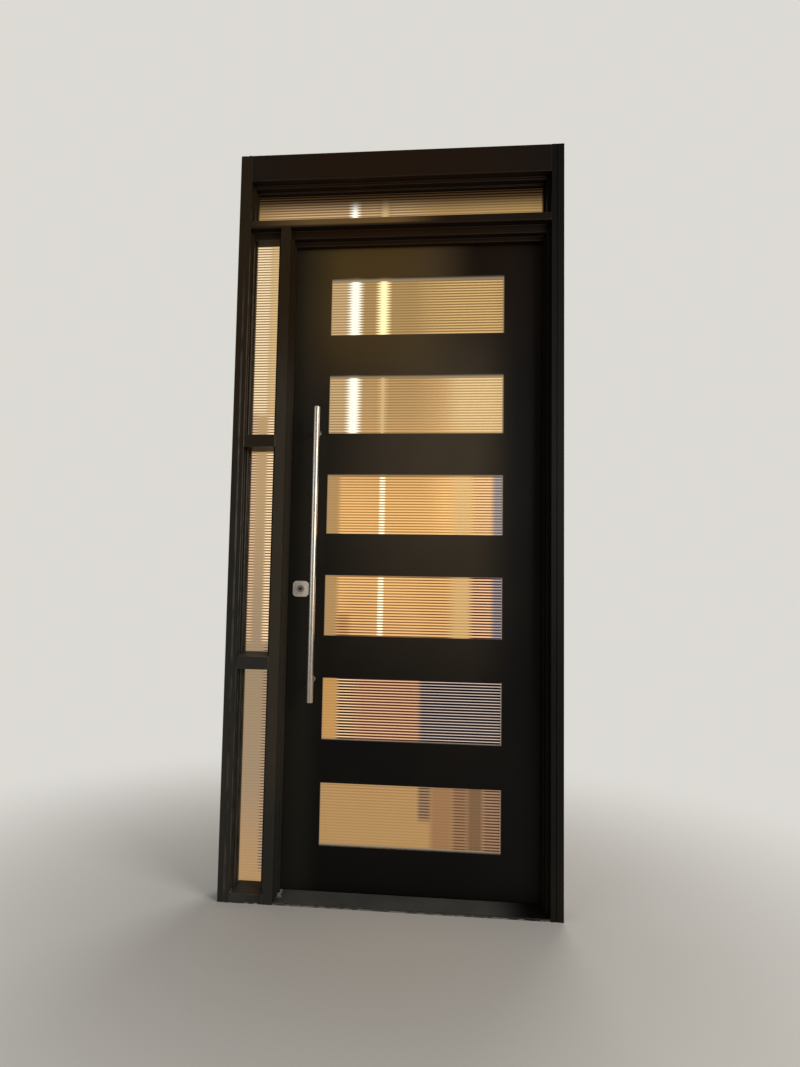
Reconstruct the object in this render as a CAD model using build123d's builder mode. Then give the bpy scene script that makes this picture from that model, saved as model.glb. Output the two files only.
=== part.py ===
from build123d import *
import os

os.makedirs("parts", exist_ok=True)

# A glazed timber entrance door in its frame, with a side light on the left and a transom
# light over both. Millimetres. X runs to the right as seen from outside, Y into the house
# and Z up. The origin is on the floor, in the middle of the frame's width and depth.

# Leaf
leaf_width = 920
leaf_height = 2340
leaf_thickness = 40
leaf_gap = 3

# Timbers of the leaf round its panes
pane_count = 6
stile_width = 147
bottom_rail = 155
top_rail = 135
cross_rail = 150

# Frame timbers, seen from the front
jamb_face = 42
mullion_face = 35
head_face = 98
transom_face = 28
side_light_width = 113
transom_light_height = 150
groove_from_edge = 24
groove_width = 3
groove_depth = 2

# Frame timbers, from front to back
frame_depth = 110
nose_depth = 27
lip_start_depth = 50
stop_back_depth = 67
stop_step = 10
lip_step = 6
door_head_lip_step = 15
transom_stop_drop = 28.5
rebate_width = 12.5

# Rails across the side light: height as a share of the leaf's, front face and slope of the top
rail_shares = {"lower": 0.338, "upper": 0.674}
rail_face = 44
rail_rise = 16

# Sills
door_sill_front = 8
door_sill_back = 27
door_sill_rebate = 19
side_sill_front = 30
side_sill_back = 49
leaf_floor_gap = 6

# Reeded glass and its beads
glass_thickness = 6
reed_pitch = 10
reed_depth = 1.1
glass_edge_gap = 2
frame_bead_depth = 13
glass_recess = 27
pane_lip = 10

# Strips that the leaf closes on
seal_width = 14
seal_clearance = 0.3
bottom_seal_width = 20

# Butt hinges
hinge_count = 4
hinge_from_end = 230
hinge_height = 100
hinge_plate_thickness = 2.5
hinge_plate_depth = 31
hinge_setback = 7
knuckle_radius = 6.4
knuckle_count = 5
knuckle_gap = 0.3
pin_radius = 3.2
pin_head_radius = 5
pin_head_height = 3
running_fit = 0.05

# Countersunk screws
screw_radius = 2.2
screw_head_radius = 4.3
screw_length = 24
screw_fit = 0.05
hinge_screw_rise = 38
hinge_screw_inner_rise = 14
hinge_screw_stagger = 7

# Fixings of the frame to the wall
fixings_from_floor = (160, 1180)
fixings_from_top = (1320, 380)
fixing_radius = 4
fixing_from_back = 10

# Pull handle
pull_from_lock_edge = 110
pull_bottom = 682
pull_length = 1040
pull_radius = 11
pull_wall = 1.5
pull_standoff = 65
pull_cap_thickness = 2
pull_cap_spigot = 12
post_inset = 76
post_radius = 9
post_base_radius = 11
post_base_height = 4
pull_bolt_radius = 4
pull_bolt_grip = 22
pull_bolt_head_radius = 11
pull_bolt_head_height = 5

# Deadbolt and its cylinder
lock_backset = 60
lock_height = 1078
rose_size = 57
rose_corner = 14
rose_thickness = 5
boss_radius = 19
boss_height = 4
boss_edge = 1
cross_bore_radius = 20
cylinder_radius = 13
cylinder_proud = 1
cylinder_case_gap = 0.3
plug_radius = 6.4
plug_rim = 0.6
keyway_width = 2.4
keyway_height = 8.4
keyway_wall = 2.5
tail_width = 6
tail_thickness = 1.6
tail_end_gap = 2
bolt_radius = 8
bolt_throw = 20
bolt_length = 36
bolt_end_edge = 1
case_radius = 11.5
case_length = 75
case_hub_radius = 4.2
face_plate_width = 25
face_plate_height = 57
face_plate_thickness = 3
face_screw_rise = 20
turn_plate_thickness = 6
turn_spindle_radius = 6
turn_spindle_length = 12
turn_grip_length = 34
turn_grip_thickness = 11
turn_grip_height = 17
turn_plate_clearance = 0.3
lock_screw_rise = 16.5
lock_screw_bite = 3
strike_plate_thickness = 2.5
strike_hole_width = 20
strike_hole_height = 22
strike_pocket_clearance = 1.5

# Levels and lines that follow from the sizes above
leaf_bottom = door_sill_rebate + leaf_floor_gap
leaf_top = leaf_bottom + leaf_height
pane_width = leaf_width - 2 * stile_width
pane_height = (leaf_height - bottom_rail - top_rail - (pane_count - 1) * cross_rail) / pane_count
rail_heights = {name: share * leaf_height for name, share in rail_shares.items()}
hinge_pitch = (leaf_height - 2 * hinge_from_end) / (hinge_count - 1)
hinge_heights = [leaf_bottom + hinge_from_end + hinge * hinge_pitch for hinge in range(hinge_count)]
transom_stop_bottom = leaf_top + leaf_gap - rebate_width
transom_bottom = transom_stop_bottom + transom_stop_drop
transom_top = transom_bottom + transom_face
head_bottom = transom_top + transom_light_height
frame_height = head_bottom + head_face
fixing_heights = [*fixings_from_floor, *(frame_height - drop for drop in fixings_from_top)]
door_opening = leaf_width + 2 * (leaf_gap - rebate_width + stop_step)
frame_width = 2 * jamb_face + side_light_width + mullion_face + door_opening

front = -frame_depth / 2
back = frame_depth / 2
nose_back = front + nose_depth
lip_front = front + lip_start_depth
stop_back = front + stop_back_depth
glass_rebate_width = rebate_width + lip_step

frame_left = -frame_width / 2
frame_right = frame_width / 2
left_face = frame_left + jamb_face
right_face = frame_right - jamb_face
mullion_left = left_face + side_light_width
mullion_right = mullion_left + mullion_face

leaf_left = mullion_right + stop_step - rebate_width + leaf_gap
leaf_right = leaf_left + leaf_width
leaf_front = back - leaf_thickness
leaf_middle = (leaf_front + back) / 2
lock_rebate = leaf_left - leaf_gap
hinge_rebate = leaf_right + leaf_gap


def facing(depth):
    """Plane across the door at this depth, whose normal points out of the house."""
    return Plane.XZ.offset(-depth)


def stepped_edge(face, side, step=stop_step, lip=lip_step):
    """Depth and position of each corner along a timber's edge, from front to back.

    The edge starts at face, steps out to the stop and its lip on the given side and goes
    back to the rebate.
    """
    stop = face + side * step
    rebate = stop - side * rebate_width
    lip_corners = [(lip_front, stop), (lip_front, stop + side * lip)] if lip else []
    return [
        (front, face),
        (nose_back, face),
        (nose_back, stop),
        *lip_corners,
        (stop_back, stop + side * lip),
        (stop_back, rebate),
        (back, rebate),
    ]


def grooved_face(edge, side):
    """Corners of a jamb's outer edge and the groove in its front face, from back to front."""
    middle = edge + side * groove_from_edge
    return [
        (back, edge),
        (front, edge),
        (front, middle - side * groove_width / 2),
        (front + groove_depth, middle),
        (front, middle + side * groove_width / 2),
    ]


def plan(corners):
    """Section of an upright on the floor, from corners given as depth and position."""
    with BuildSketch(Plane.XY) as section:
        with BuildLine():
            Polyline(*[(position, depth) for depth, position in corners], close=True)
        make_face()
    return section.sketch


def profile(corners, start):
    """Section of a level timber that starts at x = start, from depth and height corners."""
    with BuildSketch(Plane.YZ.offset(start)) as section:
        with BuildLine():
            Polyline(*corners, close=True)
        make_face()
    return section.sketch


def save(part, name):
    """Label a finished piece and write it to its own file."""
    part.label = name
    export_step(part, f"parts/{name}.step")


# Uprights

with BuildPart() as jamb_left:
    extrude(plan(grooved_face(frame_left, 1) + stepped_edge(left_face, 1)), amount=frame_height)
    for height in fixing_heights:
        with Locations(Plane((frame_left, back - fixing_from_back, height), z_dir=(-1, 0, 0))):
            Hole(fixing_radius)
save(jamb_left.part, "jamb_left")

with BuildPart() as jamb_right:
    extrude(plan(grooved_face(frame_right, -1) + stepped_edge(right_face, -1)), amount=frame_height)
    for height in fixing_heights:
        with Locations(Plane((frame_right, back - fixing_from_back, height), z_dir=(1, 0, 0))):
            Hole(fixing_radius)

# Level timbers, each cut to the shape of the uprights that it meets

left_start = left_face - rebate_width
mullion_centre = mullion_left + mullion_face / 2
full_span = right_face + rebate_width - left_start
side_span = mullion_centre - left_start
door_span = full_span - side_span

with BuildPart() as head:
    head_corners = stepped_edge(head_bottom, -1)
    extrude(profile(head_corners + [(back, frame_height), (front, frame_height)], left_start), amount=full_span)
    add(jamb_left.part, mode=Mode.SUBTRACT)
    add(jamb_right.part, mode=Mode.SUBTRACT)
save(head.part, "head")

with BuildPart() as transom_bar:
    upper_corners = stepped_edge(transom_top, 1)
    door_corners = stepped_edge(transom_bottom, -1, transom_stop_drop, door_head_lip_step)
    side_corners = stepped_edge(transom_bottom, -1, transom_stop_drop, 0)
    extrude(profile(upper_corners + door_corners[::-1], mullion_centre), amount=door_span)
    extrude(profile(upper_corners + side_corners[::-1], left_start), amount=side_span)
    add(jamb_left.part, mode=Mode.SUBTRACT)
    add(jamb_right.part, mode=Mode.SUBTRACT)
save(transom_bar.part, "transom_bar")

with BuildPart() as mullion_blank:
    mullion_corners = stepped_edge(mullion_right, 1) + stepped_edge(mullion_left, -1, lip=0)[::-1]
    extrude(plan(mullion_corners), amount=transom_bottom)
    add(transom_bar.part, mode=Mode.SUBTRACT)


def side_rail(underside):
    """Rail across the side light: level underside, top that falls to the outside."""
    glass_line = underside + rail_face + rail_rise
    corners = [
        (front, underside),
        (stop_back, underside),
        (stop_back, underside + glass_rebate_width),
        (back, underside + glass_rebate_width),
        (back, glass_line - glass_rebate_width),
        (stop_back, glass_line - glass_rebate_width),
        (stop_back, glass_line),
        (front, underside + rail_face),
    ]
    with BuildPart() as rail:
        extrude(profile(corners, left_start), amount=side_span)
        add(jamb_left.part, mode=Mode.SUBTRACT)
        add(mullion_blank.part, mode=Mode.SUBTRACT)
    return rail.part


for name, underside in rail_heights.items():
    save(side_rail(underside), f"side_rail_{name}")


def sill_corners(front_height, back_height, rebate_height):
    """Section of a sill whose top falls to the outside, with a level rebate behind."""
    return [
        (front, 0),
        (back, 0),
        (back, rebate_height),
        (stop_back, rebate_height),
        (stop_back, back_height),
        (front, front_height),
    ]


with BuildPart() as side_sill:
    side_sill_rebate = side_sill_back - glass_rebate_width
    corners = sill_corners(side_sill_front, side_sill_back, side_sill_rebate)
    extrude(profile(corners, left_start), amount=side_span)
    add(jamb_left.part, mode=Mode.SUBTRACT)
    add(mullion_blank.part, mode=Mode.SUBTRACT)
save(side_sill.part, "side_sill")

with BuildPart() as door_sill:
    corners = sill_corners(door_sill_front, door_sill_back, door_sill_rebate)
    extrude(profile(corners, mullion_centre), amount=door_span)
    add(jamb_right.part, mode=Mode.SUBTRACT)
    add(mullion_blank.part, mode=Mode.SUBTRACT)
save(door_sill.part, "door_sill")

# Reeded glass: flat outside, a row of level reeds inside


def reeded_glass(left, right, bottom, top, outside):
    """Pane that fills the given rectangle, with its flat face at the depth outside."""
    reeds = round((top - bottom) / reed_pitch)
    pitch = (top - bottom) / reeds
    valley = outside + glass_thickness - reed_depth
    with BuildPart() as pane:
        with BuildSketch(Plane.YZ.offset(left)):
            with BuildLine():
                Polyline((valley, bottom), (outside, bottom), (outside, top), (valley, top))
                for reed in range(reeds):
                    foot = bottom + reed * pitch
                    crest = (valley + reed_depth, foot + pitch / 2)
                    ThreePointArc((valley, foot), crest, (valley, foot + pitch))
            make_face()
        extrude(amount=right - left)
    return pane.part


def bead_frame(left, right, bottom, top, start, depth, width):
    """Mitred bead of the given width that runs round inside a rectangle."""
    with BuildPart() as bead:
        with BuildSketch(facing(start)):
            with Locations(((left + right) / 2, (bottom + top) / 2)):
                Rectangle(right - left, top - bottom)
                Rectangle(right - left - 2 * width, top - bottom - 2 * width, mode=Mode.SUBTRACT)
        extrude(amount=-depth)
    return bead.part


def glaze(left, right, bottom, top, outside, bead_depth, bead_width):
    """Glass and bead for one rebated opening, given by the sides of its rebate."""
    gap = glass_edge_gap
    glass = reeded_glass(left + gap, right - gap, bottom + gap, top - gap, outside)
    bead = bead_frame(left, right, bottom, top, outside + glass_thickness, bead_depth, bead_width)
    return glass, bead


side_rebate_left = left_face + stop_step - rebate_width
side_rebate_right = mullion_left - stop_step + rebate_width
rail_back_rise = rail_face + rail_rise - glass_rebate_width
side_panes = {
    "lower": (side_sill_rebate, rail_heights["lower"] + glass_rebate_width),
    "middle": (rail_heights["lower"] + rail_back_rise, rail_heights["upper"] + glass_rebate_width),
    "upper": (rail_heights["upper"] + rail_back_rise, transom_stop_bottom + rebate_width),
}
for name, (bottom, top) in side_panes.items():
    glass, bead = glaze(
        side_rebate_left, side_rebate_right, bottom, top, stop_back, frame_bead_depth, glass_rebate_width
    )
    save(glass, f"side_glass_{name}")
    save(bead, f"side_beads_{name}")

transom_rebate_bottom = transom_top + stop_step - rebate_width
transom_rebate_top = head_bottom - stop_step + rebate_width
transom_rebate_left = left_face + stop_step - rebate_width
transom_rebate_right = right_face - stop_step + rebate_width
glass, bead = glaze(
    transom_rebate_left,
    transom_rebate_right,
    transom_rebate_bottom,
    transom_rebate_top,
    stop_back,
    frame_bead_depth,
    glass_rebate_width,
)
save(glass, "transom_glass")
save(bead, "transom_beads")

# Strips on the back of the stops, between the frame and the closed leaf

seal_thickness = leaf_front - stop_back - seal_clearance


def seal_strip(left, right, bottom, top):
    """Flat strip that fills the given rectangle on the back of a stop."""
    with BuildPart() as strip:
        with BuildSketch(facing(stop_back)):
            with Locations(((left + right) / 2, (bottom + top) / 2)):
                Rectangle(right - left, top - bottom)
        extrude(amount=-seal_thickness)
    return strip.part


frame_rebate_top = transom_stop_bottom + rebate_width
seal_head_bottom = frame_rebate_top - seal_width
save(seal_strip(lock_rebate, lock_rebate + seal_width, door_sill_back, seal_head_bottom), "seal_lock_side")
save(seal_strip(hinge_rebate - seal_width, hinge_rebate, door_sill_back, seal_head_bottom), "seal_hinge_side")
save(seal_strip(lock_rebate, hinge_rebate, seal_head_bottom, frame_rebate_top), "seal_head")

# Hinges: each has a plate in the jamb, a plate in the leaf and a pin

hinge_x = leaf_right + leaf_gap / 2
hinge_y = back + hinge_setback
knuckle_height = hinge_height / knuckle_count
countersink_depth = screw_head_radius - screw_radius


def screw_points(height):
    """Height and depth of each screw of one hinge plate, staggered in two columns."""
    middle = back - hinge_plate_depth / 2
    near = middle + hinge_screw_stagger
    far = middle - hinge_screw_stagger
    return [
        (height - hinge_screw_rise, near),
        (height - hinge_screw_inner_rise, far),
        (height + hinge_screw_inner_rise, near),
        (height + hinge_screw_rise, far),
    ]


def screw_planes(face, side):
    """A plane for the head of each hinge screw in the face x = face, facing side."""
    points = [point for height in hinge_heights for point in screw_points(height)]
    return [Plane((face, y, z), z_dir=(side, 0, 0)) for z, y in points]


def hinge_plate(height, face, side, own_knuckles):
    """Plate let in behind the face x = face, with its knuckles round the pin.

    side is the way that the screw heads look.
    """
    plate_back = face - side * hinge_plate_thickness
    plate_middle = (face + plate_back) / 2
    with BuildPart() as plate:
        with BuildSketch(Plane.XY.offset(height - hinge_height / 2)):
            with Locations((plate_middle, back - hinge_plate_depth / 2)):
                Rectangle(hinge_plate_thickness, hinge_plate_depth)
        extrude(amount=hinge_height)
        for knuckle in own_knuckles:
            foot = height - hinge_height / 2 + knuckle * knuckle_height
            with BuildSketch(Plane.XY.offset(foot + knuckle_gap / 2)):
                with Locations((plate_middle, (back + hinge_y) / 2)):
                    Rectangle(hinge_plate_thickness, hinge_setback)
                with Locations((hinge_x, hinge_y)):
                    Circle(knuckle_radius)
                    Circle(pin_radius + running_fit, mode=Mode.SUBTRACT)
            extrude(amount=knuckle_height - knuckle_gap)
        for z, y in screw_points(height):
            with Locations(Plane((face, y, z), z_dir=(side, 0, 0))):
                CounterSinkHole(screw_radius + screw_fit, screw_head_radius + screw_fit)
    return plate.part


def screw_group(planes):
    """One countersunk screw driven in at each plane, its head flush with the plane."""
    with BuildPart() as screws:
        with Locations(*planes):
            Cone(
                screw_radius,
                screw_head_radius,
                countersink_depth,
                align=(Align.CENTER, Align.CENTER, Align.MAX),
            )
            Cylinder(screw_radius, screw_length, align=(Align.CENTER, Align.CENTER, Align.MAX))
    return screws.part


frame_knuckles = range(0, knuckle_count, 2)
leaf_knuckles = range(1, knuckle_count, 2)
for number, height in enumerate(hinge_heights, start=1):
    save(hinge_plate(height, hinge_rebate, -1, frame_knuckles), f"hinge_frame_plate_{number}")
    save(hinge_plate(height, leaf_right, 1, leaf_knuckles), f"hinge_leaf_plate_{number}")

with BuildPart() as hinge_pins:
    for height in hinge_heights:
        pin_top = height + hinge_height / 2 - knuckle_gap / 2
        with Locations((hinge_x, hinge_y, pin_top)):
            Cylinder(pin_radius, hinge_height, align=(Align.CENTER, Align.CENTER, Align.MAX))
            Cylinder(pin_head_radius, pin_head_height, align=(Align.CENTER, Align.CENTER, Align.MIN))
save(hinge_pins.part, "hinge_pins")

save(screw_group(screw_planes(hinge_rebate, -1)), "hinge_frame_screws")
save(screw_group(screw_planes(leaf_right, 1)), "hinge_leaf_screws")


def cut_hinge_seats(face, side):
    """Cut the seats of the hinge plates and their pilot holes out of the current part."""
    plate_middle = face - side * hinge_plate_thickness / 2
    for height in hinge_heights:
        with Locations((plate_middle, back, height)):
            Box(
                hinge_plate_thickness,
                hinge_plate_depth,
                hinge_height,
                align=(Align.CENTER, Align.MAX, Align.CENTER),
                mode=Mode.SUBTRACT,
            )
    with Locations(*screw_planes(face, side)):
        Hole(screw_radius + screw_fit, depth=screw_length + screw_fit)


with jamb_right:
    cut_hinge_seats(hinge_rebate, -1)
save(jamb_right.part, "jamb_right")

# Leaf

lock_x = leaf_left + lock_backset
pull_x = leaf_left + pull_from_lock_edge
post_heights = (pull_bottom + post_inset, pull_bottom + pull_length - post_inset)
post_points = [(pull_x, height) for height in post_heights]
pane_left = leaf_left + stile_width
pane_right = pane_left + pane_width
pane_pitch = pane_height + cross_rail
pane_bottoms = [leaf_bottom + bottom_rail + pane * pane_pitch for pane in range(pane_count)]
pane_centres = [((pane_left + pane_right) / 2, bottom + pane_height / 2) for bottom in pane_bottoms]
lock_edge_plane = Plane((leaf_left, leaf_middle, lock_height), z_dir=(-1, 0, 0))
face_screw_planes = [
    Plane((leaf_left, leaf_middle, lock_height + rise), z_dir=(-1, 0, 0))
    for rise in (-face_screw_rise, face_screw_rise)
]

with BuildPart() as leaf:
    with BuildSketch(facing(leaf_front)):
        with Locations(((leaf_left + leaf_right) / 2, (leaf_bottom + leaf_top) / 2)):
            Rectangle(leaf_width, leaf_height)
    extrude(amount=-leaf_thickness)
    with BuildSketch(facing(leaf_front)):
        with Locations(*pane_centres):
            Rectangle(pane_width, pane_height)
    extrude(amount=-leaf_thickness, mode=Mode.SUBTRACT)
    with BuildSketch(facing(leaf_front + glass_recess)):
        with Locations(*pane_centres):
            Rectangle(pane_width + 2 * pane_lip, pane_height + 2 * pane_lip)
    extrude(amount=glass_recess - leaf_thickness, mode=Mode.SUBTRACT)
    with BuildSketch(facing(leaf_front)):
        with Locations((lock_x, lock_height)):
            Circle(cross_bore_radius)
        with Locations(*post_points):
            Circle(pull_bolt_radius + screw_fit)
    extrude(amount=-leaf_thickness, mode=Mode.SUBTRACT)
    with BuildSketch(Plane.YZ.offset(leaf_left)):
        with Locations((leaf_middle, lock_height)):
            Rectangle(face_plate_width, face_plate_height)
    extrude(amount=face_plate_thickness, mode=Mode.SUBTRACT)
    with Locations(lock_edge_plane):
        Hole(case_radius + screw_fit, depth=lock_backset)
    with Locations(*face_screw_planes):
        Hole(screw_radius + screw_fit, depth=screw_length + screw_fit)
    cut_hinge_seats(leaf_right, 1)
save(leaf.part, "leaf")

for number, bottom in enumerate(pane_bottoms, start=1):
    glass, bead = glaze(
        pane_left - pane_lip,
        pane_right + pane_lip,
        bottom - pane_lip,
        bottom + pane_height + pane_lip,
        leaf_front + glass_recess,
        leaf_thickness - glass_recess - glass_thickness,
        pane_lip,
    )
    save(glass, f"leaf_glass_{number}")
    save(bead, f"leaf_beads_{number}")

with BuildPart() as bottom_seal:
    with BuildSketch(Plane.XY.offset(leaf_bottom)):
        with Locations(((leaf_left + leaf_right) / 2, leaf_middle)):
            Rectangle(leaf_width, bottom_seal_width)
    extrude(amount=seal_clearance - leaf_floor_gap)
save(bottom_seal.part, "bottom_seal")

# Pull handle: a tube closed by two caps, on two posts that are bolted through the leaf

pull_y = leaf_front - pull_standoff
pull_top = pull_bottom + pull_length

with BuildPart() as pull_bar:
    with BuildSketch(Plane.XY.offset(pull_bottom + pull_cap_thickness)):
        with Locations((pull_x, pull_y)):
            Circle(pull_radius)
            Circle(pull_radius - pull_wall, mode=Mode.SUBTRACT)
    extrude(amount=pull_length - 2 * pull_cap_thickness)
save(pull_bar.part, "pull_bar")

with BuildPart() as pull_end_caps:
    for end, inward in ((pull_bottom, 1), (pull_top, -1)):
        with BuildSketch(Plane.XY.offset(end)):
            with Locations((pull_x, pull_y)):
                Circle(pull_radius)
        extrude(amount=inward * pull_cap_thickness)
        with BuildSketch(Plane.XY.offset(end)):
            with Locations((pull_x, pull_y)):
                Circle(pull_radius - pull_wall - screw_fit)
        extrude(amount=inward * pull_cap_spigot)
    outer_rims = pull_end_caps.edges().filter_by(GeomType.CIRCLE).group_by(Axis.Z)
    chamfer(outer_rims[0] + outer_rims[-1], length=pull_cap_thickness / 2)
save(pull_end_caps.part, "pull_end_caps")

with BuildPart() as pull_posts:
    with BuildSketch(facing(leaf_front)):
        with Locations(*post_points):
            Circle(post_radius)
    extrude(amount=pull_standoff)
    with BuildSketch(facing(leaf_front)):
        with Locations(*post_points):
            Circle(post_base_radius)
    extrude(amount=post_base_height)
    with Locations((pull_x, pull_y, pull_bottom + pull_length / 2)):
        Cylinder(pull_radius, pull_length, mode=Mode.SUBTRACT)
    with BuildSketch(facing(leaf_front)):
        with Locations(*post_points):
            Circle(pull_bolt_radius + screw_fit)
    extrude(amount=pull_bolt_grip + screw_fit, mode=Mode.SUBTRACT)
save(pull_posts.part, "pull_posts")

with BuildPart() as pull_bolts:
    with BuildSketch(facing(back)):
        with Locations(*post_points):
            Circle(pull_bolt_radius)
    extrude(amount=leaf_thickness + pull_bolt_grip)
    with BuildSketch(facing(back)):
        with Locations(*post_points):
            Circle(pull_bolt_head_radius)
    extrude(amount=-pull_bolt_head_height)
    head_rims = pull_bolts.edges().filter_by(GeomType.CIRCLE).group_by(Axis.Y)[-1]
    fillet(head_rims, radius=pull_bolt_head_height / 2)
save(pull_bolts.part, "pull_bolts")

# Lock: a cylinder outside, a tubular deadbolt in the edge and a thumb turn inside

rose_front = leaf_front - rose_thickness
boss_front = rose_front - boss_height
cylinder_front = boss_front - cylinder_proud
cylinder_back = leaf_middle - case_radius - cylinder_case_gap
cylinder_length = cylinder_back - cylinder_front
lock_point = (lock_x, lock_height)
lock_screw_points = [(lock_x, lock_height + rise) for rise in (-lock_screw_rise, lock_screw_rise)]

with BuildPart() as cylinder_rose:
    with BuildSketch(facing(leaf_front)):
        with Locations(lock_point):
            RectangleRounded(rose_size, rose_size, rose_corner)
    extrude(amount=rose_thickness)
    chamfer(cylinder_rose.faces().sort_by(Axis.Y)[0].edges(), length=boss_edge)
    with BuildSketch(facing(rose_front)):
        with Locations(lock_point):
            Circle(boss_radius)
    extrude(amount=boss_height)
    chamfer(cylinder_rose.faces().sort_by(Axis.Y)[0].edges(), length=boss_edge)
    with BuildSketch(facing(leaf_front)):
        with Locations(lock_point):
            Circle(cylinder_radius + screw_fit)
    extrude(amount=rose_thickness + boss_height, mode=Mode.SUBTRACT)
    with BuildSketch(facing(leaf_front)):
        with Locations(*lock_screw_points):
            Circle(screw_radius + screw_fit)
    extrude(amount=lock_screw_bite + screw_fit, mode=Mode.SUBTRACT)
save(cylinder_rose.part, "cylinder_rose")

with BuildPart() as cylinder_housing:
    with BuildSketch(facing(cylinder_front)):
        with Locations(lock_point):
            Circle(cylinder_radius)
            Circle(plug_radius + running_fit, mode=Mode.SUBTRACT)
    extrude(amount=-cylinder_length)
save(cylinder_housing.part, "cylinder_housing")

turn_front = back - tail_end_gap
tail_length = turn_front - cylinder_back
plug_front = cylinder_front - plug_rim
spindle_end = back + turn_plate_thickness + turn_plate_clearance

with BuildPart() as key_plug:
    with BuildSketch(facing(plug_front)):
        with Locations(lock_point):
            Circle(plug_radius)
    extrude(amount=plug_front - cylinder_back)
    with BuildSketch(facing(plug_front)):
        with Locations(lock_point):
            Rectangle(keyway_width, keyway_height)
    extrude(amount=plug_front - cylinder_back + keyway_wall, mode=Mode.SUBTRACT)
    with BuildSketch(facing(cylinder_back)):
        with Locations(lock_point):
            Rectangle(tail_thickness, tail_width)
    extrude(amount=-tail_length)
save(key_plug.part, "key_plug")

with BuildPart() as bolt_case:
    with BuildSketch(Plane.YZ.offset(leaf_left)):
        with Locations((leaf_middle, lock_height)):
            Rectangle(face_plate_width, face_plate_height)
    extrude(amount=face_plate_thickness)
    with BuildSketch(Plane.YZ.offset(leaf_left)):
        with Locations((leaf_middle, lock_height)):
            Circle(case_radius)
    extrude(amount=case_length)
    with Locations(lock_edge_plane):
        Hole(bolt_radius + running_fit, depth=bolt_length + running_fit)
    with Locations(Plane((lock_x, leaf_front, lock_height), z_dir=(0, -1, 0))):
        Hole(case_hub_radius, depth=leaf_thickness)
    with Locations(*face_screw_planes):
        CounterSinkHole(screw_radius + screw_fit, screw_head_radius + screw_fit)
save(bolt_case.part, "bolt_case")

with BuildPart() as dead_bolt:
    with BuildSketch(Plane.YZ.offset(leaf_left)):
        with Locations((leaf_middle, lock_height)):
            Circle(bolt_radius)
    extrude(amount=bolt_length)
    chamfer(dead_bolt.faces().sort_by(Axis.X)[0].edges(), length=bolt_end_edge)
save(dead_bolt.part, "dead_bolt")

turn_screw_planes = [Plane((x, back + turn_plate_thickness, z), z_dir=(0, 1, 0)) for x, z in lock_screw_points]

with BuildPart() as turn_plate:
    with BuildSketch(facing(back)):
        with Locations(lock_point):
            RectangleRounded(rose_size, rose_size, rose_corner)
    extrude(amount=-turn_plate_thickness)
    chamfer(turn_plate.faces().sort_by(Axis.Y)[-1].edges(), length=boss_edge)
    with BuildSketch(facing(back)):
        with Locations(lock_point):
            Circle(turn_spindle_radius + running_fit)
    extrude(amount=-turn_plate_thickness, mode=Mode.SUBTRACT)
    with Locations(*turn_screw_planes):
        CounterSinkHole(screw_radius + screw_fit, screw_head_radius + screw_fit)
save(turn_plate.part, "turn_plate")

with BuildPart() as thumb_turn:
    with BuildSketch(facing(spindle_end)):
        with Locations(lock_point):
            Circle(turn_spindle_radius)
    extrude(amount=turn_spindle_length)
    with BuildSketch(facing(spindle_end)):
        with Locations(lock_point):
            SlotOverall(turn_grip_length, turn_grip_thickness, rotation=90)
    extrude(amount=-turn_grip_height)
    fillet(thumb_turn.faces().sort_by(Axis.Y)[-1].edges(), radius=turn_grip_thickness / 5)
    with BuildSketch(facing(spindle_end - turn_spindle_length)):
        with Locations(lock_point):
            Rectangle(tail_thickness + 2 * seal_clearance, tail_width + 2 * seal_clearance)
    extrude(amount=-turn_spindle_length, mode=Mode.SUBTRACT)
save(thumb_turn.part, "thumb_turn")

through_length = turn_plate_thickness + leaf_thickness + lock_screw_bite
with BuildPart() as lock_screws:
    with Locations(*turn_screw_planes):
        Cone(
            screw_radius,
            screw_head_radius,
            countersink_depth,
            align=(Align.CENTER, Align.CENTER, Align.MAX),
        )
        Cylinder(screw_radius, through_length, align=(Align.CENTER, Align.CENTER, Align.MAX))
    add(screw_group(face_screw_planes))
save(lock_screws.part, "lock_screws")

# Strike plate in the mullion, and the pocket for the bolt behind it

strike_screw_planes = [
    Plane((lock_rebate, leaf_middle, lock_height + rise), z_dir=(1, 0, 0))
    for rise in (-face_screw_rise, face_screw_rise)
]
strike_pocket_depth = bolt_throw - leaf_gap + strike_pocket_clearance
strike_screw_length = strike_pocket_depth - strike_plate_thickness

with BuildPart() as strike_plate:
    with BuildSketch(Plane.YZ.offset(lock_rebate)):
        with Locations((leaf_middle, lock_height)):
            Rectangle(face_plate_width, face_plate_height)
            Rectangle(strike_hole_width, strike_hole_height, mode=Mode.SUBTRACT)
    extrude(amount=-strike_plate_thickness)
    with Locations(*strike_screw_planes):
        CounterSinkHole(screw_radius + screw_fit, screw_head_radius + screw_fit)
save(strike_plate.part, "strike_plate")

with BuildPart() as strike_screws:
    with Locations(*strike_screw_planes):
        Cone(
            screw_radius,
            screw_head_radius,
            countersink_depth,
            align=(Align.CENTER, Align.CENTER, Align.MAX),
        )
        Cylinder(screw_radius, strike_screw_length, align=(Align.CENTER, Align.CENTER, Align.MAX))
save(strike_screws.part, "strike_screws")

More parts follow.
